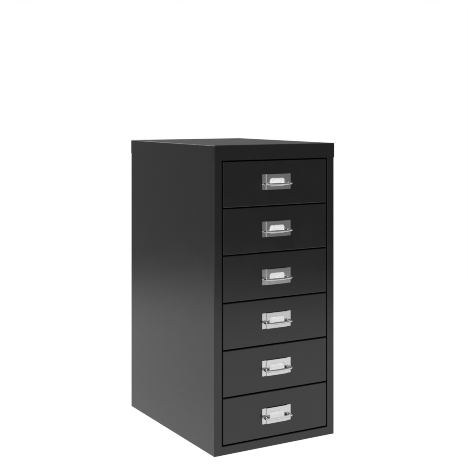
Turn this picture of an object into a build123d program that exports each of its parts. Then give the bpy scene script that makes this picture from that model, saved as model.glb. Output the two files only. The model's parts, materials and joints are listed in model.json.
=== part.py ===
from build123d import *
from math import cos, radians, tan
import os

# Six-drawer steel cabinet. Millimetres, +X right, +Z up, the drawers open towards -Y.
# The origin lies on the floor under the middle of the whole object's box.

# Overall size over the top cap
cabinet_width = 279.0
cabinet_depth = 380.0
cabinet_height = 590.0

# Front layout
drawer_count = 6
header_height = 29.3
rail_height = 16.6
stile_width = 16.5
front_gap = 2.5

# Sheet gauges
cap_sheet = 1.0
panel_sheet = 0.9
drawer_sheet = 0.8
runner_sheet = 1.0
handle_sheet = 1.0

# Outside bend radii
cap_bend = 2.0
panel_bend = 1.5
front_bend = 1.2

# Folded edges of the carcass sheets
header_hem = 12.0
stile_return = 14.0
back_flange = 20.0
foot_flange = 22.0
rail_hem = 12.0
base_skirt = 12.0

# Glide feet
foot_stand = 1.2
foot_radius = 8.0
foot_stem_radius = 3.0
foot_stem_length = 6.0
foot_inset = 30.0
foot_hole_clearance = 0.2

# Drawer tray, measured from the front pan that carries it
front_depth = 13.0
tray_drop = 7.0
tray_lift = 6.0
tray_bend = 1.6
rim_width = 9.0
rim_clearance = 1.5

# Runners, their pads and the shoes on the drawer rims
runner_clearance = 1.0
runner_end_gap = 1.0
runner_weld_flange = 10.0
slide_height = 1.2
slide_clearance = 0.2
pad_length = 25.0
shoe_length = 42.5
shoe_wall = 1.0
stop_clearance = 0.3

# Closing buffers on the back panel
buffer_radius = 5.0
buffer_length = 8.0
buffer_spacing = 160.0

# Card-holder plate of the handle; its middle stands above or below the middle of the drawer front
# by one of these rises, which repeat down the cabinet
handle_rises = (2.3, 0.5, -2.5)
handle_width = 65.6
handle_height = 30.1
panel_foot_width = 49.2
holder_stand = 2.2
holder_bevel = 1.05
window_width = 34.4
window_top_margin = 7.4
window_corner = 5.0

# Pull lip, a shelf bent out of the lower edge of the window and drawn up into a rim at its front and ends;
# its levels are measured from the lower edge of the plate
lip_level = 8.0
lip_end_rise = 1.4
lip_rim_level = 13.2
lip_width = 62.0
lip_reach = 13.4
lip_corner = 3.5
lip_bend = 2.6
rim_lean = 8.0
root_width = 30.0
root_bend = 1.7

# Tabs that hold the handle to the drawer front
tab_height = 8.0
tab_leg = 6.0
tab_clearance = 0.15

# Label card
card_thickness = 0.4
card_height = 27.0
card_clearance = 0.2
card_side_clearance = 0.6

# Places worked out from the sizes above
body_width = cabinet_width - 2 * cap_sheet
body_depth = cabinet_depth - 2 * cap_sheet
half_body = body_width / 2
half_inside = half_body - panel_sheet
half_opening = half_body - stile_width
foot_x = half_body - foot_flange / 2
face_y = (lip_reach - body_depth - cap_sheet) / 2
back_y = face_y + body_depth
back_inside_y = back_y - 2 * panel_sheet
body_bottom = foot_stand
cap_inside = cabinet_height - cap_sheet
body_top = cabinet_height - cap_bend
rail_top = body_bottom + rail_height
header_bottom = cabinet_height - header_height
front_height = (header_bottom - rail_top - (drawer_count + 1) * front_gap) / drawer_count
half_front = half_opening - front_gap
half_rim = half_opening - rim_clearance
half_tray = half_rim - rim_width
tray_front_y = face_y + front_depth
tray_back_y = back_inside_y - buffer_length - stop_clearance
runner_front_y = face_y + stile_return + runner_end_gap
runner_back_y = back_inside_y - runner_end_gap
pad_back_y = runner_front_y + pad_length
shoe_front_y = tray_back_y - shoe_length
drawer_travel = shoe_front_y - pad_back_y - stop_clearance
panel_foot = panel_foot_width / 2
panel_crest = panel_foot - holder_bevel
# The lip's walls lean, so their foot would stand out further than the bend that rounds it off
lip_foot_spread = lip_bend * (tan(radians(rim_lean)) + 1 / cos(radians(rim_lean)) - 1)
root_front_y = face_y - holder_stand - handle_sheet - root_bend


def block(x_span, y_span, z_span):
    """A box between two opposite corners, each span given as its two ends."""
    spans = (x_span, y_span, z_span)
    size = [abs(high - low) for low, high in spans]
    middle = [(low + high) / 2 for low, high in spans]
    return Pos(*middle) * Box(*size)


def round_upright(solid, x, y, radius):
    """Rounds the upright edge that stands nearest to a point of the plan."""
    edge = solid.edges().filter_by(Axis.Z).sort_by_distance((x, y, solid.center().Z))[0]
    return fillet(edge, radius)


def both_sides(solid):
    """A solid and its mirror image across the middle of the cabinet."""
    return [solid, mirror(solid, Plane.YZ)]


def front_span(number):
    """Lowest and highest level of a drawer front, counted from the top drawer."""
    top = header_bottom - number * front_gap - (number - 1) * front_height
    return top - front_height, top


def tray_span(number):
    """Lowest and highest level of a drawer tray."""
    bottom, top = front_span(number)
    return bottom + tray_lift, top - tray_drop


def rim_level(number):
    """Level of the underside of a drawer tray's rims."""
    return tray_span(number)[1] - drawer_sheet


def handle_bottom(number):
    """Level of the lower edge of a drawer's handle plate."""
    bottom, top = front_span(number)
    rise = handle_rises[(number - 1) % len(handle_rises)]
    return (bottom + top) / 2 + rise - handle_height / 2


def top_cap():
    """Folded lid that sits over the carcass; its front skirt is the header."""
    half_cap = cabinet_width / 2
    span_z = (header_bottom, cabinet_height)
    shell = block((-half_cap, half_cap), (face_y - cap_sheet, back_y + cap_sheet), span_z)
    bends = shell.edges().filter_by(Axis.Z) + shell.faces().sort_by(Axis.Z)[-1].edges()
    shell = fillet(bends, cap_bend)
    inside = block((-half_body, half_body), (face_y, back_y), (header_bottom, cap_inside))
    inside = fillet(inside.faces().sort_by(Axis.Z)[-1].edges(), cap_bend - cap_sheet)
    hem = block((-half_opening, half_opening), (face_y, face_y + header_hem),
                (header_bottom, header_bottom + cap_sheet))
    return shell - inside + hem


def left_side_panel():
    """Folded sheet: the side, the stile with its return, the back flange and the foot flange."""
    span_z = (body_bottom, body_top)
    side = block((-half_body, -half_inside), (face_y, back_y), span_z)
    stile = block((-half_body, -half_opening), (face_y, face_y + panel_sheet), span_z)
    ret = block((-half_opening - panel_sheet, -half_opening), (face_y, face_y + stile_return), span_z)
    flange = block((-half_body, -half_body + back_flange), (back_y - panel_sheet, back_y), span_z)
    panel = side + stile + ret + flange
    panel = round_upright(panel, -half_body, face_y, panel_bend)
    panel = round_upright(panel, -half_inside, face_y + panel_sheet, panel_bend - panel_sheet)
    panel = round_upright(panel, -half_opening, face_y, front_bend)
    foot = block((-half_inside, -half_body + foot_flange), (runner_front_y, back_inside_y),
                 (body_bottom, body_bottom + panel_sheet))
    panel = panel + foot
    for y in foot_places():
        hole = Cylinder(foot_stem_radius + foot_hole_clearance, 2 * panel_sheet)
        panel = panel - Pos(-foot_x, y, body_bottom + panel_sheet / 2) * hole
    return panel


def back_panel():
    """Flat sheet let in between the sides, against their back flanges."""
    return block((-half_inside, half_inside), (back_inside_y, back_y - panel_sheet), (body_bottom, body_top))


def base_panel():
    """Floor of the carcass; its front edge turns down as the bottom rail."""
    corner_y = face_y + stile_return
    floor_z = (rail_top - panel_sheet, rail_top)
    opening = (-half_opening, half_opening)
    front = block(opening, (face_y, corner_y), floor_z)
    rail = block(opening, (face_y, face_y + panel_sheet), (body_bottom, rail_top))
    sheet = front + rail
    edge = sheet.edges().filter_by(Axis.X).sort_by_distance((0, face_y, rail_top))[0]
    sheet = fillet(edge, front_bend)
    hem = block(opening, (face_y, face_y + rail_hem), (body_bottom, body_bottom + panel_sheet))
    floor = block((-half_inside, half_inside), (corner_y, back_inside_y), floor_z)
    skirt = block((-half_inside, -half_inside + panel_sheet), (corner_y, back_inside_y),
                  (rail_top - base_skirt, rail_top))
    upstand = block((-half_inside, half_inside), (back_inside_y - panel_sheet, back_inside_y),
                    (rail_top, rail_top + base_skirt))
    return sheet + hem + floor + both_sides(skirt) + upstand


def foot_places():
    """Front and back places of the feet, along the depth."""
    return face_y + foot_inset, back_y - foot_inset


def glide_feet():
    """Four push-in glides under the foot flanges."""
    feet = []
    for y in foot_places():
        head = Pos(-foot_x, y, foot_stand / 2) * Cylinder(foot_radius, foot_stand)
        stem_middle = foot_stand + foot_stem_length / 2
        stem = Pos(-foot_x, y, stem_middle) * Cylinder(foot_stem_radius, foot_stem_length)
        feet += both_sides(head + stem)
    return feet


def runner_pair(number):
    """Channels on the side panels that a drawer's rims run in, with flanges to weld them by."""
    shelf_top = rim_level(number) - slide_height
    roof_bottom = rim_level(number) + drawer_sheet + slide_height
    low = shelf_top - runner_sheet
    high = roof_bottom + runner_sheet
    span_x = (-half_inside, -half_tray - runner_clearance)
    span_y = (runner_front_y, runner_back_y)
    shelf = block(span_x, span_y, (low, shelf_top))
    roof = block(span_x, span_y, (roof_bottom, high))
    web = block((-half_inside, -half_inside + runner_sheet), span_y, (low - runner_weld_flange, high))
    return both_sides(shelf + roof + web)


def runner_pads():
    """A slide pad at the front of each runner, under the drawer rim."""
    pads = []
    for number in range(1, drawer_count + 1):
        shelf_top = rim_level(number) - slide_height
        pad = block((-half_rim, -half_tray - runner_clearance), (runner_front_y, pad_back_y),
                    (shelf_top, shelf_top + slide_height - slide_clearance))
        pads += both_sides(pad)
    return pads


def closing_buffers():
    """Two round stops on the back panel behind each drawer tray."""
    buffers = []
    for number in range(1, drawer_count + 1):
        bottom, top = front_span(number)
        place = Pos(-buffer_spacing / 2, back_inside_y - buffer_length / 2, (bottom + top) / 2)
        buffers += both_sides(place * Rot(90, 0, 0) * Cylinder(buffer_radius, buffer_length))
    return buffers


def tab_block(number, side, clearance):
    """The part of a handle tab that passes through the drawer front, with a clearance all round it."""
    middle = handle_bottom(number) + handle_height / 2
    outer = side * (handle_width / 2 + clearance)
    inner = side * (handle_width / 2 - handle_sheet - clearance)
    reach = tab_height / 2 + clearance
    return block((inner, outer), (face_y, face_y + drawer_sheet), (middle - reach, middle + reach))


def drawer_front(number):
    """Pressed front pan, open at the back, slotted for the handle's tabs."""
    bottom, top = front_span(number)
    pan = block((-half_front, half_front), (face_y, tray_front_y), (bottom, top))
    pan = fillet(pan.faces().sort_by(Axis.Y)[0].edges(), front_bend)
    hollow = block((-half_front + drawer_sheet, half_front - drawer_sheet),
                   (face_y + drawer_sheet, tray_front_y), (bottom + drawer_sheet, top - drawer_sheet))
    pan = pan - hollow
    for side in (-1, 1):
        pan = pan - tab_block(number, side, tab_clearance)
    return pan


def front_backing(number):
    """Plate that closes the back of the front pan and carries the tray."""
    bottom, top = front_span(number)
    return block((-half_front + drawer_sheet, half_front - drawer_sheet),
                 (tray_front_y - drawer_sheet, tray_front_y), (bottom + drawer_sheet, top - drawer_sheet))


def drawer_tray(number):
    """Bent sheet: the floor, the side walls and their out-turned rims."""
    low, high = tray_span(number)
    span_y = (tray_front_y, tray_back_y)
    outside = block((-half_tray, half_tray), span_y, (low, high))
    outside = fillet(outside.edges().filter_by(Axis.Y).group_by(Axis.Z)[0], tray_bend)
    hollow = block((-half_tray + drawer_sheet, half_tray - drawer_sheet), span_y, (low + drawer_sheet, high))
    hollow = fillet(hollow.edges().filter_by(Axis.Y).group_by(Axis.Z)[0], tray_bend - drawer_sheet)
    rim = block((-half_rim, -half_tray + drawer_sheet), span_y, (high - drawer_sheet, high))
    return outside - hollow + both_sides(rim)


def drawer_back(number):
    """Back wall let in between a tray's side walls, its lower corners cut clear of the bends."""
    low, high = tray_span(number)
    wall = block((-half_tray + drawer_sheet, half_tray - drawer_sheet),
                 (tray_back_y - drawer_sheet, tray_back_y), (low + drawer_sheet, high))
    return chamfer(wall.edges().filter_by(Axis.Y).group_by(Axis.Z)[0], tray_bend)


def rear_shoes(number):
    """Plastic shoes clipped round the back ends of a tray's rims."""
    level = rim_level(number)
    reach = slide_height - slide_clearance
    shoe = block((-half_rim - shoe_wall, -half_tray - runner_clearance), (shoe_front_y, tray_back_y),
                 (level - reach, level + drawer_sheet + reach))
    rim = block((-half_rim, -half_tray), (shoe_front_y, tray_back_y), (level, level + drawer_sheet))
    return both_sides(shoe - rim)


def holder_plate(bottom):
    """Pressed plate: flat ears, bevels and a raised panel, as one bent sheet."""
    bevel_length = (holder_bevel**2 + holder_stand**2) ** 0.5
    inner_shift = handle_sheet * (bevel_length - holder_bevel) / holder_stand
    ear = handle_width / 2
    outer = [(ear, handle_sheet), (panel_foot, handle_sheet), (panel_crest, holder_stand + handle_sheet)]
    inner = [(panel_crest - inner_shift, holder_stand), (panel_foot - inner_shift, 0), (ear, 0)]
    half = outer + [(0, holder_stand + handle_sheet), (0, holder_stand)] + inner
    outline = [(x, face_y - stand) for x, stand in half]
    section = make_face(Polyline(*outline, close=True))
    right = extrude(Pos(0, 0, bottom) * section, handle_height, dir=(0, 0, 1))
    ledge_end = panel_crest - inner_shift
    ledge = block((0, ledge_end), (face_y, face_y - holder_stand), (bottom, bottom + handle_sheet))
    half_plate = right + ledge
    return half_plate + mirror(half_plate, Plane.YZ)


def holder_back():
    """Space behind the middle of the plate's sheet, where the lip stops."""
    middle = handle_sheet / 2
    ear = handle_width / 2
    right = [(ear, 0), (ear, middle), (panel_foot, middle), (panel_crest, holder_stand + middle)]
    left = [(-x, stand) for x, stand in reversed(right)]
    outline = [(x, face_y - stand) for x, stand in right + left]
    return extrude(make_face(Polyline(*outline, close=True)), handle_height, dir=(0, 0, 1))


def lip_bowl(inset):
    """Outside of the lip, or its inside at an inset: leaning walls and a floor that rises at the ends."""
    half = lip_width / 2 + lip_foot_spread - inset
    depth = lip_reach + lip_foot_spread - inset
    low = lip_level + inset
    rise = lip_rim_level - low
    plan = Pos(0, face_y - depth / 2) * Rectangle(2 * half, depth)
    plan = fillet(plan.vertices().group_by(Axis.Y)[0], lip_corner - inset)
    walls = extrude(Pos(0, 0, low) * plan, rise, taper=rim_lean)
    ends = low + lip_end_rise
    arc = ThreePointArc((-half, ends), (0, low), (half, ends))
    sides = Polyline((half, ends), (half, lip_rim_level), (-half, lip_rim_level), (-half, ends))
    arch = extrude(Plane.XZ * make_face(arc + sides), cabinet_depth)
    bowl = walls & arch
    lower = bowl.faces().sort_by(Axis.Z)[0].edges().sort_by(Axis.Y)[:-1]
    return fillet(lower, lip_bend - inset)


def pull_lip(bottom):
    """Shelf with its rim, and the bend that joins it to the raised panel."""
    outer = root_bend + handle_sheet
    turn = Circle(outer) - Circle(root_bend)
    quarter = turn & Pos(outer / 2, outer / 2) * Rectangle(outer, outer)
    root = extrude(Plane.YZ * Pos(root_front_y, lip_level - root_bend) * quarter, root_width / 2, both=True)
    levels = (0, handle_height)
    clear = block((-root_width / 2, root_width / 2), (root_front_y, face_y), levels)
    shell = lip_bowl(0) - lip_bowl(handle_sheet) - holder_back() - clear
    return Pos(0, 0, bottom) * (shell + root)


def handle(number):
    """Card-holder plate with its window, pull lip and folded tabs."""
    bottom = handle_bottom(number)
    plate = holder_plate(bottom)
    through = (face_y - holder_stand - 2 * handle_sheet, face_y)
    sill = bottom + lip_level + handle_sheet
    window_top = bottom + handle_height - window_top_margin
    window = block((-window_width / 2, window_width / 2), through, (sill, window_top))
    window = fillet(window.edges().filter_by(Axis.Y).group_by(Axis.Z)[-1], window_corner)
    notch = block((-root_width / 2, root_width / 2), through, (bottom + lip_level - root_bend, sill))
    piece = plate - window - notch + pull_lip(bottom)
    middle = bottom + handle_height / 2
    leg_y = (face_y + drawer_sheet, face_y + drawer_sheet + handle_sheet)
    leg_z = (middle - tab_height / 2, middle + tab_height / 2)
    for side in (-1, 1):
        outer = side * handle_width / 2
        leg = block((outer, outer - side * tab_leg), leg_y, leg_z)
        piece = piece + tab_block(number, side, 0) + leg
    return piece


def label_card(number):
    """Card standing on the holder's ledge, close behind its window."""
    bottom = handle_bottom(number) + handle_sheet
    half_card = panel_foot_width / 2 - holder_bevel - handle_sheet - card_side_clearance
    front = face_y - holder_stand + card_clearance
    return block((-half_card, half_card), (front, front + card_thickness), (bottom, bottom + card_height))


def save(name, solids):
    """Writes a node; a list becomes a group of separate solids."""
    shape = Compound(children=solids) if isinstance(solids, list) else solids
    export_step(shape, os.path.join("parts", name + ".step"))


os.makedirs("parts", exist_ok=True)
save("top_cap", top_cap())
save("left_side_panel", left_side_panel())
save("right_side_panel", mirror(left_side_panel(), Plane.YZ))
save("back_panel", back_panel())
save("base_panel", base_panel())
save("glide_feet", glide_feet())
save("runner_pads", runner_pads())
save("closing_buffers", closing_buffers())
for drawer in range(1, drawer_count + 1):
    save(f"runner_pair_{drawer}", runner_pair(drawer))
    save(f"drawer_front_{drawer}", drawer_front(drawer))
    save(f"front_backing_{drawer}", front_backing(drawer))
    save(f"drawer_tray_{drawer}", drawer_tray(drawer))
    save(f"drawer_back_{drawer}", drawer_back(drawer))
    save(f"rear_shoes_{drawer}", rear_shoes(drawer))
    save(f"handle_{drawer}", handle(drawer))
    save(f"label_card_{drawer}", label_card(drawer))
print(f"drawer travel between its stops: {drawer_travel:.1f} mm")
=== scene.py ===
"""Dresses a six-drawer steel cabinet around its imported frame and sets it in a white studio.

Names that end in _mm, _px and _deg give their unit, and all other lengths are in metres.
"""

import json
import logging
import math
from dataclasses import dataclass
from enum import Enum

import bmesh
import bpy
from mathutils import Matrix, Vector


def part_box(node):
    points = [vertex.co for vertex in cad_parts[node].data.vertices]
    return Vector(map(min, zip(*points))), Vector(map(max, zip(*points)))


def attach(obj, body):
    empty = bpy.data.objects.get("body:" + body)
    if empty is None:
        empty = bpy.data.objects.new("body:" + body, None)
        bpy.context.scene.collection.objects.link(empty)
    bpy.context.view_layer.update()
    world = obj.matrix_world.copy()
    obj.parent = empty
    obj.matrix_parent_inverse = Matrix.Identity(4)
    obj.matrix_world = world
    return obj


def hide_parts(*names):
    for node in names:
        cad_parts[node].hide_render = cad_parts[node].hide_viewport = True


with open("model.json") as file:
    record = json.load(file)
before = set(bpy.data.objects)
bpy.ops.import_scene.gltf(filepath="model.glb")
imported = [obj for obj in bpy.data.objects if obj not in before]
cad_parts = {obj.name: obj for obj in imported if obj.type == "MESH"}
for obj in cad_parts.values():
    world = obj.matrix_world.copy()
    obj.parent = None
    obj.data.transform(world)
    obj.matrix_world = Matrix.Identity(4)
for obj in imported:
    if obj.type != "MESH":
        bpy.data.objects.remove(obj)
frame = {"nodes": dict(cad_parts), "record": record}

log = logging.getLogger("cabinet")

MM = 0.001
DRAWER_COUNT = 6

Source = tuple[bpy.types.Node, str]
Links = dict[str, Source]


class Tone(Enum):
    """Colours of the finishes and of the studio, as sRGB hex values."""

    BLACK_POWDER = "#0c0c0c"
    BLACK_POWDER_THIN = "#101010"
    NICKEL = "#d4d4d4"
    NICKEL_DULL = "#cbcbcb"
    CARD_WHITE = "#fdfdfd"
    CARD_FIBRE = "#f4f4f4"
    ZINC_PALE = "#ccd0d2"
    ZINC_DARK = "#b0b5b9"
    NYLON_MILKY = "#dedbd0"
    NYLON_CREAM = "#d2cebf"
    RUBBER = "#1e1e1e"
    RUBBER_BLOOM = "#2a2a2b"
    FOOT_BLACK = "#1a1a1b"
    FOOT_GREY = "#242425"
    STUDIO_WHITE = "#ffffff"
    STUDIO_PALE = "#a4a4a4"
    STUDIO_DARK = "#707070"
    FLOOR_MATT = "#383838"


class Slot(Enum):
    """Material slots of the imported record."""

    PAINT = "paint"
    BRIGHT_PLATE = "bright_plate"
    CARD = "card"
    ZINC_STEEL = "zinc_steel"
    NYLON = "nylon"
    RUBBER = "rubber"
    FOOT_PLASTIC = "foot_plastic"


def linear(tone: Tone) -> tuple[float, float, float, float]:
    """Turns an sRGB hex colour into linear light.

    Args:
        tone: The named colour.

    Returns:
        Red, green, blue and an alpha of 1.
    """
    channels = [int(tone.value[i:i + 2], 16) / 255 for i in (1, 3, 5)]
    light = [c / 12.92 if c <= 0.04045 else ((c + 0.055) / 1.055) ** 2.4 for c in channels]
    return (*light, 1.0)


def per_metre(size_mm: float) -> float:
    """Texture scale that repeats once in a length given in millimetres."""
    return 1 / (size_mm * MM)


def add_node(tree: bpy.types.NodeTree, kind: str, settings: dict, links: Links) -> bpy.types.Node:
    """Adds a shader node, sets it up and links its inputs.

    Args:
        tree: The node tree that the node goes into.
        kind: The node's type name.
        settings: Values by the identifier of an input socket, or by the name of a property.
        links: A node and the identifier of its output, by the identifier of the input it feeds.

    Returns:
        The new node.
    """
    node = tree.nodes.new(kind)
    inputs = {socket.identifier: socket for socket in node.inputs}
    for name, value in settings.items():
        if name in inputs:
            inputs[name].default_value = value
        else:
            setattr(node, name, value)
    for name, (source, output) in links.items():
        outputs = {socket.identifier: socket for socket in source.outputs}
        tree.links.new(outputs[output], inputs[name])
    return node


def new_material(name: str) -> tuple[bpy.types.Material, bpy.types.NodeTree, Source]:
    """Starts an empty node material.

    Args:
        name: The material's name.

    Returns:
        The material, its node tree and the output that gives Object coordinates.
    """
    material = bpy.data.materials.new(name)
    material.use_nodes = True
    tree = material.node_tree
    tree.nodes.clear()
    return material, tree, (add_node(tree, "ShaderNodeTexCoord", {}, {}), "Object")


def close_finish(tree: bpy.types.NodeTree, tones: tuple[Tone, Tone], blend: Source,
                 relief: Source, relief_mm: float, settings: dict, links: Links) -> None:
    """Ends the tree of a finish with its two tones, its relief and the shader that they feed.

    Args:
        tree: The material's node tree.
        tones: The colours where the blending pattern is low and where it is high.
        blend: The pattern that blends the tones.
        relief: The pattern that raises the surface.
        relief_mm: The height of the relief.
        settings: Values of the shader's sockets that are the same all over.
        links: Patterns that feed other sockets of the shader.
    """
    tone = add_node(tree, "ShaderNodeMix",
                    {"data_type": "RGBA", "A_Color": linear(tones[0]),
                     "B_Color": linear(tones[1])}, {"Factor_Float": blend})
    bump = add_node(tree, "ShaderNodeBump", {"Distance": relief_mm * MM}, {"Height": relief})
    shader = add_node(tree, "ShaderNodeBsdfPrincipled", settings,
                      {"Base Color": (tone, "Result_Color"), "Normal": (bump, "Normal"), **links})
    add_node(tree, "ShaderNodeOutputMaterial", {}, {"Surface": (shader, "BSDF")})


@dataclass(frozen=True)
class SatinPowderCoat:
    """Black polyester powder, sprayed dry on degreased sheet and baked.

    The film flows out into a satin black with a soft sheen. It keeps a fine orange peel, and
    broad patches where it came out a little thicker are a touch glossier and deeper in tone.
    """

    tones: tuple[Tone, Tone] = (Tone.BLACK_POWDER, Tone.BLACK_POWDER_THIN)
    peel_mm: float = 1.6
    peel_height_mm: float = 0.002
    peel_detail: float = 1.0
    patch_mm: float = 45.0
    patch_detail: float = 3.0
    patch_span: tuple[float, float] = (0.3, 0.7)
    roughness: tuple[float, float] = (0.18, 0.23)
    ior: float = 1.57

    def build(self) -> bpy.types.Material:
        """Makes the material."""
        material, tree, place = new_material("satin_powder_coat")
        peel = add_node(tree, "ShaderNodeTexNoise",
                        {"Scale": per_metre(self.peel_mm), "Detail": self.peel_detail},
                        {"Vector": place})
        patches = add_node(tree, "ShaderNodeTexNoise",
                           {"Scale": per_metre(self.patch_mm), "Detail": self.patch_detail},
                           {"Vector": place})
        sheen = add_node(tree, "ShaderNodeMapRange",
                         {"From Min": self.patch_span[0], "From Max": self.patch_span[1],
                          "To Min": self.roughness[0], "To Max": self.roughness[1]},
                         {"Value": (patches, "Fac")})
        close_finish(tree, self.tones, (patches, "Fac"), (peel, "Fac"), self.peel_height_mm,
                     {"IOR": self.ior}, {"Roughness": (sheen, "Result")})
        return material


@dataclass(frozen=True)
class BrightNickel:
    """Bright nickel plate on pressed steel, barrel-plated without polishing.

    A slightly soft, neutral grey mirror. The press leaves shallow waves that bend reflections,
    and the plate varies from crisp to hazy within a few millimetres.
    """

    tones: tuple[Tone, Tone] = (Tone.NICKEL, Tone.NICKEL_DULL)
    wave_mm: float = 9.0
    wave_height_mm: float = 0.02
    wave_detail: float = 0.0
    haze_mm: float = 3.5
    haze_detail: float = 3.0
    haze_span: tuple[float, float] = (0.3, 0.7)
    roughness: tuple[float, float] = (0.07, 0.12)

    def build(self) -> bpy.types.Material:
        """Makes the material."""
        material, tree, place = new_material("bright_nickel_plate")
        waves = add_node(tree, "ShaderNodeTexNoise",
                         {"Scale": per_metre(self.wave_mm), "Detail": self.wave_detail},
                         {"Vector": place})
        haze = add_node(tree, "ShaderNodeTexNoise",
                        {"Scale": per_metre(self.haze_mm), "Detail": self.haze_detail},
                        {"Vector": place})
        soft = add_node(tree, "ShaderNodeMapRange",
                        {"From Min": self.haze_span[0], "From Max": self.haze_span[1],
                         "To Min": self.roughness[0], "To Max": self.roughness[1]},
                        {"Value": (haze, "Fac")})
        close_finish(tree, self.tones, (haze, "Fac"), (waves, "Fac"), self.wave_height_mm,
                     {"Metallic": 1.0}, {"Roughness": (soft, "Result")})
        return material


@dataclass(frozen=True)
class CardStock:
    """Uncoated white card, cut from calendered sheet.

    Matt, with a faint cloudiness where the fibres lie closer together and a soft tooth. Real
    tooth is too fine to show, so it is drawn coarser.
    """

    tones: tuple[Tone, Tone] = (Tone.CARD_WHITE, Tone.CARD_FIBRE)
    cloud_mm: float = 2.5
    cloud_detail: float = 4.0
    tooth_mm: float = 0.3
    tooth_height_mm: float = 0.01
    tooth_detail: float = 2.0
    roughness: float = 0.75
    ior: float = 1.45

    def build(self) -> bpy.types.Material:
        """Makes the material."""
        material, tree, place = new_material("white_card_stock")
        cloud = add_node(tree, "ShaderNodeTexNoise",
                         {"Scale": per_metre(self.cloud_mm), "Detail": self.cloud_detail},
                         {"Vector": place})
        tooth = add_node(tree, "ShaderNodeTexNoise",
                         {"Scale": per_metre(self.tooth_mm), "Detail": self.tooth_detail},
                         {"Vector": place})
        close_finish(tree, self.tones, (cloud, "Fac"), (tooth, "Fac"), self.tooth_height_mm,
                     {"Roughness": self.roughness, "IOR": self.ior}, {})
        return material


@dataclass(frozen=True)
class ZincPlate:
    """Zinc-plated mild steel strip, rolled into runner channels.

    A cool grey metal. The zinc froze in a mosaic of pale and dark grains, and rolling drew fine
    streaks along the channel. Real streaks are too fine to show, so they are drawn coarser.
    """

    tones: tuple[Tone, Tone] = (Tone.ZINC_PALE, Tone.ZINC_DARK)
    grain_mm: float = 6.0
    streak_mm: float = 0.7
    streak_stretch: float = 0.02
    streak_height_mm: float = 0.004
    streak_detail: float = 2.0
    roughness: tuple[float, float] = (0.30, 0.46)

    def build(self) -> bpy.types.Material:
        """Makes the material."""
        material, tree, place = new_material("zinc_plated_steel")
        grains = add_node(tree, "ShaderNodeTexVoronoi", {"Scale": per_metre(self.grain_mm)},
                          {"Vector": place})
        along = add_node(tree, "ShaderNodeMapping", {"Scale": (1.0, self.streak_stretch, 1.0)},
                         {"Vector": place})
        streaks = add_node(tree, "ShaderNodeTexNoise",
                           {"Scale": per_metre(self.streak_mm), "Detail": self.streak_detail},
                           {"Vector": (along, "Vector")})
        grain = add_node(tree, "ShaderNodeSeparateColor", {}, {"Color": (grains, "Color")})
        soft = add_node(tree, "ShaderNodeMapRange",
                        {"To Min": self.roughness[0], "To Max": self.roughness[1]},
                        {"Value": (grain, "Red")})
        close_finish(tree, self.tones, (grain, "Green"), (streaks, "Fac"), self.streak_height_mm,
                     {"Metallic": 1.0}, {"Roughness": (soft, "Result")})
        return material


@dataclass(frozen=True)
class NaturalNylon:
    """Unpigmented nylon, injection-moulded into pads and shoes.

    Milky and slightly translucent, with creamy flow streaks and a low waxy gloss. The grain of a
    real mould is too fine to show, so it is drawn coarser.
    """

    tones: tuple[Tone, Tone] = (Tone.NYLON_MILKY, Tone.NYLON_CREAM)
    flow_mm: float = 8.0
    flow_detail: float = 3.0
    flow_distortion: float = 0.8
    grain_mm: float = 0.5
    grain_height_mm: float = 0.006
    grain_detail: float = 1.0
    roughness: tuple[float, float] = (0.38, 0.5)
    ior: float = 1.53
    scatter_weight: float = 0.3
    scatter_mm: tuple[float, float, float] = (1.6, 1.4, 1.1)

    def build(self) -> bpy.types.Material:
        """Makes the material."""
        material, tree, place = new_material("natural_nylon")
        flow = add_node(tree, "ShaderNodeTexNoise",
                        {"Scale": per_metre(self.flow_mm), "Detail": self.flow_detail,
                         "Distortion": self.flow_distortion}, {"Vector": place})
        grain = add_node(tree, "ShaderNodeTexNoise",
                         {"Scale": per_metre(self.grain_mm), "Detail": self.grain_detail},
                         {"Vector": place})
        soft = add_node(tree, "ShaderNodeMapRange",
                        {"To Min": self.roughness[0], "To Max": self.roughness[1]},
                        {"Value": (flow, "Fac")})
        close_finish(tree, self.tones, (flow, "Fac"), (grain, "Fac"), self.grain_height_mm,
                     {"IOR": self.ior, "Subsurface Weight": self.scatter_weight,
                      "Subsurface Scale": MM, "Subsurface Radius": self.scatter_mm},
                     {"Roughness": (soft, "Result")})
        return material


@dataclass(frozen=True)
class MouldedBlack:
    """A black moulding with a mould-grained skin: rubber buffers or glide plastic.

    Matt and deep, with an eroded grain and a paler bloom that drifts over it. The grain of a
    real mould is too fine to show, so it is drawn coarser.
    """

    name: str
    tones: tuple[Tone, Tone]
    roughness: tuple[float, float]
    ior: float
    grain_mm: float = 0.4
    grain_height_mm: float = 0.015
    grain_detail: float = 1.0
    bloom_mm: float = 6.0
    bloom_detail: float = 4.0

    def build(self) -> bpy.types.Material:
        """Makes the material."""
        material, tree, place = new_material(self.name)
        bloom = add_node(tree, "ShaderNodeTexNoise",
                         {"Scale": per_metre(self.bloom_mm), "Detail": self.bloom_detail},
                         {"Vector": place})
        grain = add_node(tree, "ShaderNodeTexNoise",
                         {"Scale": per_metre(self.grain_mm), "Detail": self.grain_detail},
                         {"Vector": place})
        soft = add_node(tree, "ShaderNodeMapRange",
                        {"To Min": self.roughness[0], "To Max": self.roughness[1]},
                        {"Value": (bloom, "Fac")})
        close_finish(tree, self.tones, (bloom, "Fac"), (grain, "Fac"), self.grain_height_mm,
                     {"IOR": self.ior}, {"Roughness": (soft, "Result")})
        return material


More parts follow.
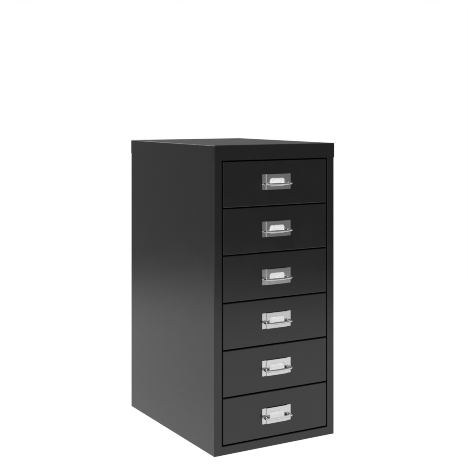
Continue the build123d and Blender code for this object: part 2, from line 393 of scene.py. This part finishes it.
class Wardrobe:
    """The finishes by slot, and the ways to put them on nodes and new pieces."""

    def __init__(self) -> None:
        """Makes every finish once."""
        rubber = MouldedBlack("moulded_rubber", (Tone.RUBBER, Tone.RUBBER_BLOOM),
                              roughness=(0.6, 0.8), ior=1.52)
        foot_plastic = MouldedBlack("glide_plastic", (Tone.FOOT_BLACK, Tone.FOOT_GREY),
                                    roughness=(0.42, 0.55), ior=1.5)
        self.finishes: dict[Slot, bpy.types.Material] = {
            Slot.PAINT: SatinPowderCoat().build(),
            Slot.BRIGHT_PLATE: BrightNickel().build(),
            Slot.CARD: CardStock().build(),
            Slot.ZINC_STEEL: ZincPlate().build(),
            Slot.NYLON: NaturalNylon().build(),
            Slot.RUBBER: rubber.build(),
            Slot.FOOT_PLASTIC: foot_plastic.build(),
        }
        subparts = frame["record"]["subparts"]
        self.slots = {row["node"]: Slot(row["material_slot"]) for row in subparts}

    def dress(self, node: str) -> None:
        """Gives a carried-over node the finish of its slot.

        Args:
            node: The node's name.
        """
        frame["nodes"][node].data.materials[0] = self.finishes[self.slots[node]]
        log.info("dressed %s", node)

    def add_piece(self, name: str, shape: bmesh.types.BMesh, slot: Slot,
                  body: str) -> bpy.types.Object:
        """Turns a finished shape into a piece that rides on a body.

        Args:
            name: The piece's name.
            shape: The shape, in metres, in its place. It is freed.
            slot: The record's slot that the finish comes from.
            body: The body that the piece rides on.

        Returns:
            The new object.
        """
        mesh = bpy.data.meshes.new(name)
        shape.to_mesh(mesh)
        shape.free()
        mesh.materials.append(self.finishes[slot])
        piece = bpy.data.objects.new(name, mesh)
        bpy.context.scene.collection.objects.link(piece)
        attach(piece, body)
        log.info("added %s, %d faces", name, len(mesh.polygons))
        return piece


@dataclass(frozen=True)
class SpotWeld:
    """Mark that a spot-welding tip leaves on painted sheet: a low ring round a dished middle."""

    radius_mm: float = 2.8
    crown_mm: float = 1.9
    height_mm: float = 0.16
    dish_mm: float = 0.12
    dish_inset_mm: float = 0.7
    segments: int = 16

    def press(self, shape: bmesh.types.BMesh, place: Vector) -> None:
        """Adds one mark on a sheet that faces the back.

        Args:
            shape: The shape that collects the marks of one piece.
            place: The middle of the mark on the sheet's surface.
        """
        seat = Matrix.Translation(place) @ Matrix.Rotation(math.radians(-90.0), 4, "X")
        rise = Matrix.Translation((0, 0, self.height_mm * MM / 2))
        made = bmesh.ops.create_cone(shape, cap_ends=True, cap_tris=False, segments=self.segments,
                                     radius1=self.radius_mm * MM, radius2=self.crown_mm * MM,
                                     depth=self.height_mm * MM, matrix=seat @ rise)
        outward = seat.to_3x3() @ Vector((0, 0, 1))
        faces = {face for vert in made["verts"] for face in vert.link_faces}
        caps = [face for face in faces if len(face.verts) == self.segments]
        top = max(caps, key=lambda face: face.calc_center_median().dot(outward))
        bmesh.ops.inset_region(shape, faces=[top], thickness=self.dish_inset_mm * MM, depth=0)
        bmesh.ops.translate(shape, verts=top.verts, vec=-outward * self.dish_mm * MM)


@dataclass
class Carcass:
    """Welded shell of folded sheets, with the runners, pads, buffers and feet fixed to it."""

    wardrobe: Wardrobe
    weld: SpotWeld = SpotWeld()
    weld_pitch_mm: float = 62.0
    weld_inset_mm: float = 11.0
    rail_half_mm: float = 122.0
    rail_top_mm: float = 16.6
    stile_bend_mm: float = 1.2

    def build(self) -> None:
        """Dresses the carcass, marks the welds of its back and fills its bottom corners."""
        for node in frame["record"]["behaviour"]["bodies"]["carcass"]:
            self.wardrobe.dress(node)
        self.build_back_welds()
        self.build_corner_welds()

    def build_back_welds(self) -> None:
        """Rows of weld marks where the back flanges of the sides hold the back panel."""
        shape = bmesh.new()
        inset = self.weld_inset_mm * MM
        for side, node in ((1, "left_side_panel"), (-1, "right_side_panel")):
            low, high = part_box(node)
            edge = low.x if side == 1 else high.x
            count = int((high.z - low.z) / (self.weld_pitch_mm * MM))
            for step in range(count):
                height = low.z + (high.z - low.z) * (step + 0.5) / count
                self.weld.press(shape, Vector((edge + side * inset, high.y, height)))
        self.wardrobe.add_piece("back_weld_marks", shape, Slot.PAINT, "carcass")

    def build_corner_welds(self) -> None:
        """Welds ground flush in the grooves between the stiles and the ends of the bottom rail."""
        shape = bmesh.new()
        low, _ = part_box("left_side_panel")
        bend = self.stile_bend_mm * MM
        for side in (-1, 1):
            root = Vector((side * self.rail_half_mm * MM, low.y, low.z))
            wedge = (root, root + Vector((side * bend, 0, 0)), root + Vector((0, bend, 0)))
            face = shape.faces.new([shape.verts.new(corner) for corner in wedge])
            grown = bmesh.ops.extrude_face_region(shape, geom=[face])["geom"]
            raised = [item for item in grown if isinstance(item, bmesh.types.BMVert)]
            rise = Vector((0, 0, self.rail_top_mm * MM - low.z))
            bmesh.ops.translate(shape, verts=raised, vec=rise)
        bmesh.ops.recalc_face_normals(shape, faces=shape.faces)
        self.wardrobe.add_piece("rail_corner_welds", shape, Slot.PAINT, "carcass")


@dataclass
class Drawer:
    """One drawer: its pressed front, backing, tray, back, shoes, pull and label card."""

    number: int
    wardrobe: Wardrobe
    edge_round_mm: float = 0.25
    edge_segments: int = 2
    bend_round_mm: float = 0.85
    bend_segments: int = 5
    bend_length_mm: float = 25.0
    bend_upright_share: float = 0.99
    bend_limit_deg: float = 80.0
    sharp_deg: float = 35.0
    flat_deg: float = 0.5
    merge_mm: float = 0.001

    @property
    def body(self) -> str:
        """Name of the body that the drawer's pieces ride on."""
        return f"drawer_{self.number}"

    def build(self) -> None:
        """Dresses the drawer and its label, and rounds the edges of its pull."""
        for node in frame["record"]["behaviour"]["bodies"][self.body]:
            self.wardrobe.dress(node)
        self.wardrobe.dress(f"label_card_{self.number}")
        self.build_pull()

    def sharp_edges(self, shape: bmesh.types.BMesh) -> list[bmesh.types.BMEdge]:
        """Edges of a shape that turn by more than the sharp angle."""
        limit = math.radians(self.sharp_deg)
        return [edge for edge in shape.edges if edge.is_manifold and edge.calc_face_angle() > limit]

    def is_panel_bend(self, edge: bmesh.types.BMEdge) -> bool:
        """Tells the long upright bends beside the pull's raised panel from its other edges.

        Args:
            edge: A sharp edge of the pull.

        Returns:
            Whether the edge is such a bend.
        """
        along = edge.verts[1].co - edge.verts[0].co
        upright = abs(along.z) > self.bend_upright_share * along.length
        long = along.length > self.bend_length_mm * MM
        return upright and long and edge.calc_face_angle() < math.radians(self.bend_limit_deg)

    @staticmethod
    def round_edges(shape: bmesh.types.BMesh, edges: list[bmesh.types.BMEdge],
                    radius_mm: float, segments: int) -> None:
        """Rounds some edges of a shape.

        Args:
            shape: The shape.
            edges: Its edges to round.
            radius_mm: How far the rounding reaches from each edge.
            segments: The number of flats in the rounding.
        """
        bmesh.ops.bevel(shape, geom=edges, offset=radius_mm * MM, offset_type="OFFSET",
                        affect="EDGES", segments=segments, profile=0.5, material=-1,
                        clamp_overlap=True)

    def build_pull(self) -> None:
        """Card-holder pull whose stamped edges are tumbled round before plating."""
        node = f"handle_{self.number}"
        shape = bmesh.new()
        shape.from_mesh(frame["nodes"][node].data)
        bmesh.ops.remove_doubles(shape, verts=shape.verts, dist=self.merge_mm * MM)
        bmesh.ops.dissolve_limit(shape, angle_limit=math.radians(self.flat_deg),
                                 use_dissolve_boundaries=False, verts=shape.verts,
                                 edges=shape.edges, delimit=set())
        bends = [edge for edge in self.sharp_edges(shape) if self.is_panel_bend(edge)]
        self.round_edges(shape, bends, self.bend_round_mm, self.bend_segments)
        self.round_edges(shape, self.sharp_edges(shape), self.edge_round_mm, self.edge_segments)
        for face in shape.faces:
            face.smooth = True
        piece = self.wardrobe.add_piece(f"card_holder_pull_{self.number}", shape,
                                        Slot.BRIGHT_PLATE, self.body)
        piece.data.set_sharp_from_angle(angle=math.radians(self.sharp_deg))
        weighted = piece.modifiers.new("even_shading", "WEIGHTED_NORMAL")
        weighted.keep_sharp = True
        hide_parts(node)


@dataclass(frozen=True)
class SoftBox:
    """A square studio light aimed at the cabinet."""

    name: str
    place: Vector
    size: float
    power: float
    aim: Vector = Vector((0, 0, 0.3))

    def build(self) -> None:
        """Puts the light in its place."""
        lamp = bpy.data.lights.new(self.name, "AREA")
        lamp.shape = "SQUARE"
        lamp.size = self.size
        lamp.energy = self.power
        light = bpy.data.objects.new(self.name, lamp)
        light.location = self.place
        light.rotation_euler = (self.aim - self.place).to_track_quat("-Z", "Y").to_euler()
        bpy.context.scene.collection.objects.link(light)


def add_sheet(name: str, half: float, seat: Matrix,
              material: bpy.types.Material) -> bpy.types.Object:
    """Adds a flat square for the studio.

    Args:
        name: The object's name.
        half: Half the length of a side.
        seat: The turn and the place of the square, which faces up before it.
        material: The material of the square.

    Returns:
        The new object.
    """
    shape = bmesh.new()
    bmesh.ops.create_grid(shape, x_segments=1, y_segments=1, size=half, matrix=seat)
    mesh = bpy.data.meshes.new(name)
    shape.to_mesh(mesh)
    shape.free()
    mesh.materials.append(material)
    sheet = bpy.data.objects.new(name, mesh)
    bpy.context.scene.collection.objects.link(sheet)
    return sheet


@dataclass(frozen=True)
class LitCard:
    """A glowing white card that lights the cabinet and shows in its plate, out of the picture."""

    name: str
    place: Vector
    half: float
    glow: float
    aim: Vector = Vector((0, -0.2, 0.3))

    def build(self) -> None:
        """Stands the card in its place."""
        material, tree, _ = new_material(self.name)
        glow = add_node(tree, "ShaderNodeEmission",
                        {"Color": linear(Tone.STUDIO_WHITE), "Strength": self.glow}, {})
        add_node(tree, "ShaderNodeOutputMaterial", {}, {"Surface": (glow, "Emission")})
        turn = (self.aim - self.place).to_track_quat("Z", "Y").to_matrix().to_4x4()
        card = add_sheet(self.name, self.half, Matrix.Translation(self.place) @ turn, material)
        card.visible_camera = False


@dataclass
class Studio:
    """White floor, soft lights and the camera, at the viewing angle of the photograph."""

    image_px: int = 468
    focal_px: float = 1005.75
    horizon_px: float = 108.2
    yaw_deg: float = 30.149
    eye: Vector = Vector((-1.06038, -1.84378, 0.66031))
    sensor_mm: float = 36.0
    blur_px: float = 1.0
    pale_way: Vector = Vector((-0.987, -0.162, 0))
    floor_half: float = 3.2
    floor_drop: float = 0.0003
    floor_white_radius: float = 1.0
    floor_fade_radius: float = 2.5
    floor_glow: float = 0.96
    # Painted shade: the floor glows less behind the cabinet, standing in for the shadow that the
    # cabinet casts there.
    floor_painted_shade_glow: float = 0.83
    floor_painted_shade_way: Vector = Vector((-0.5, 0.87, 0))
    floor_painted_shade_span: tuple[float, float] = (-0.1, 0.4)
    soft_boxes: tuple[SoftBox, ...] = (
        SoftBox("overhead", Vector((-0.6, -0.4, 2.8)), size=2.2, power=60.0),
        SoftBox("front", Vector((-1.3, -2.3, 2.5)), size=1.6, power=62.0),
        SoftBox("rim", Vector((-0.6, 2.6, 1.95)), size=1.2, power=10.0),
    )
    left_card: LitCard = LitCard("left_card", Vector((-2.2, -0.8, 0.45)), half=0.6, glow=1.0)

    def build(self) -> None:
        """Sets up the tone and sharpness of the view, the world, the floor, lights and camera."""
        bpy.context.scene.view_settings.view_transform = "Standard"
        bpy.context.scene.cycles.filter_width = self.blur_px
        self.build_world()
        self.build_floor()
        for box in self.soft_boxes:
            box.build()
        self.left_card.build()
        self.build_camera()

    def build_world(self) -> None:
        """Grey surroundings for the object, paler at the left, and white behind it."""
        world = bpy.data.worlds.new("studio")
        bpy.context.scene.world = world
        world.use_nodes = True
        tree = world.node_tree
        tree.nodes.clear()
        path = add_node(tree, "ShaderNodeLightPath", {}, {})
        way = add_node(tree, "ShaderNodeTexCoord", {}, {})
        turn = add_node(tree, "ShaderNodeVectorMath",
                        {"operation": "DOT_PRODUCT", "Vector_001": self.pale_way},
                        {"Vector": (way, "Generated")})
        share = add_node(tree, "ShaderNodeMapRange", {"From Min": -1.0, "From Max": 1.0},
                         {"Value": (turn, "Value")})
        tone = add_node(tree, "ShaderNodeMix",
                        {"data_type": "RGBA", "A_Color": linear(Tone.STUDIO_DARK),
                         "B_Color": linear(Tone.STUDIO_PALE)}, {"Factor_Float": (share, "Result")})
        grey = add_node(tree, "ShaderNodeBackground", {}, {"Color": (tone, "Result_Color")})
        white = add_node(tree, "ShaderNodeBackground", {"Color": linear(Tone.STUDIO_WHITE)}, {})
        mix = add_node(tree, "ShaderNodeMixShader", {},
                       {"Fac": (path, "Is Camera Ray"), "Shader": (grey, "Background"),
                        "Shader_001": (white, "Background")})
        add_node(tree, "ShaderNodeOutputWorld", {}, {"Surface": (mix, "Shader")})

    def floor_material(self) -> bpy.types.Material:
        """White to the camera, with painted shade behind the cabinet, faded out far off and clear
        from below.

        Returns:
            The floor's material.
        """
        material, tree, place = new_material("pale_floor")
        far = add_node(tree, "ShaderNodeVectorMath", {"operation": "LENGTH"}, {"Vector": place})
        fade = add_node(tree, "ShaderNodeMapRange",
                        {"interpolation_type": "SMOOTHSTEP", "From Min": self.floor_white_radius,
                         "From Max": self.floor_fade_radius}, {"Value": (far, "Value")})
        # Painted shade: the glow drops towards the back left, where the cabinet's shadow on the
        # floor would be.
        behind = add_node(tree, "ShaderNodeVectorMath",
                          {"operation": "DOT_PRODUCT", "Vector_001": self.floor_painted_shade_way},
                          {"Vector": place})
        painted_shade = add_node(tree, "ShaderNodeMapRange",
                       {"From Min": self.floor_painted_shade_span[0], "From Max": self.floor_painted_shade_span[1],
                        "To Min": self.floor_glow, "To Max": self.floor_painted_shade_glow},
                       {"Value": (behind, "Value")})
        path = add_node(tree, "ShaderNodeLightPath", {}, {})
        seen = add_node(tree, "ShaderNodeMix", {"B_Float": 1.0},
                        {"Factor_Float": (path, "Is Camera Ray"), "A_Float": (painted_shade, "Result")})
        glow = add_node(tree, "ShaderNodeEmission", {"Color": linear(Tone.STUDIO_WHITE)},
                        {"Strength": (seen, "Result_Float")})
        matt = add_node(tree, "ShaderNodeBsdfDiffuse", {"Color": linear(Tone.FLOOR_MATT)}, {})
        lit = add_node(tree, "ShaderNodeAddShader", {},
                       {"Shader": (glow, "Emission"), "Shader_001": (matt, "BSDF")})
        clear = add_node(tree, "ShaderNodeBsdfTransparent", {}, {})
        side = add_node(tree, "ShaderNodeNewGeometry", {}, {})
        gone = add_node(tree, "ShaderNodeMath", {"operation": "MAXIMUM"},
                        {"Value": (fade, "Result"), "Value_001": (side, "Backfacing")})
        mix = add_node(tree, "ShaderNodeMixShader", {},
                       {"Fac": (gone, "Value"), "Shader": (lit, "Shader"),
                        "Shader_001": (clear, "BSDF")})
        add_node(tree, "ShaderNodeOutputMaterial", {}, {"Surface": (mix, "Shader")})
        return material

    def build_floor(self) -> None:
        """Lays the floor just under the glides."""
        floor = add_sheet("floor", self.floor_half, Matrix.Translation((0, 0, -self.floor_drop)),
                          self.floor_material())

    def build_camera(self) -> None:
        """A level camera whose frame is shifted down, so that uprights stay upright."""
        data = bpy.data.cameras.new("camera")
        data.sensor_width = self.sensor_mm
        data.lens = self.focal_px / self.image_px * self.sensor_mm
        data.shift_y = (self.horizon_px - self.image_px / 2) / self.image_px
        camera = bpy.data.objects.new("camera", data)
        camera.location = self.eye
        camera.rotation_euler = (math.pi / 2, 0, -math.radians(self.yaw_deg))
        bpy.context.scene.collection.objects.link(camera)
        bpy.context.scene.camera = camera


def main() -> None:
    """Builds the scene."""
    logging.basicConfig(level=logging.INFO, format="%(name)s: %(message)s")
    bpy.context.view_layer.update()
    wardrobe = Wardrobe()
    Carcass(wardrobe).build()
    for number in range(1, DRAWER_COUNT + 1):
        Drawer(number, wardrobe).build()
    Studio().build()


if __name__ == "__main__":
    main()
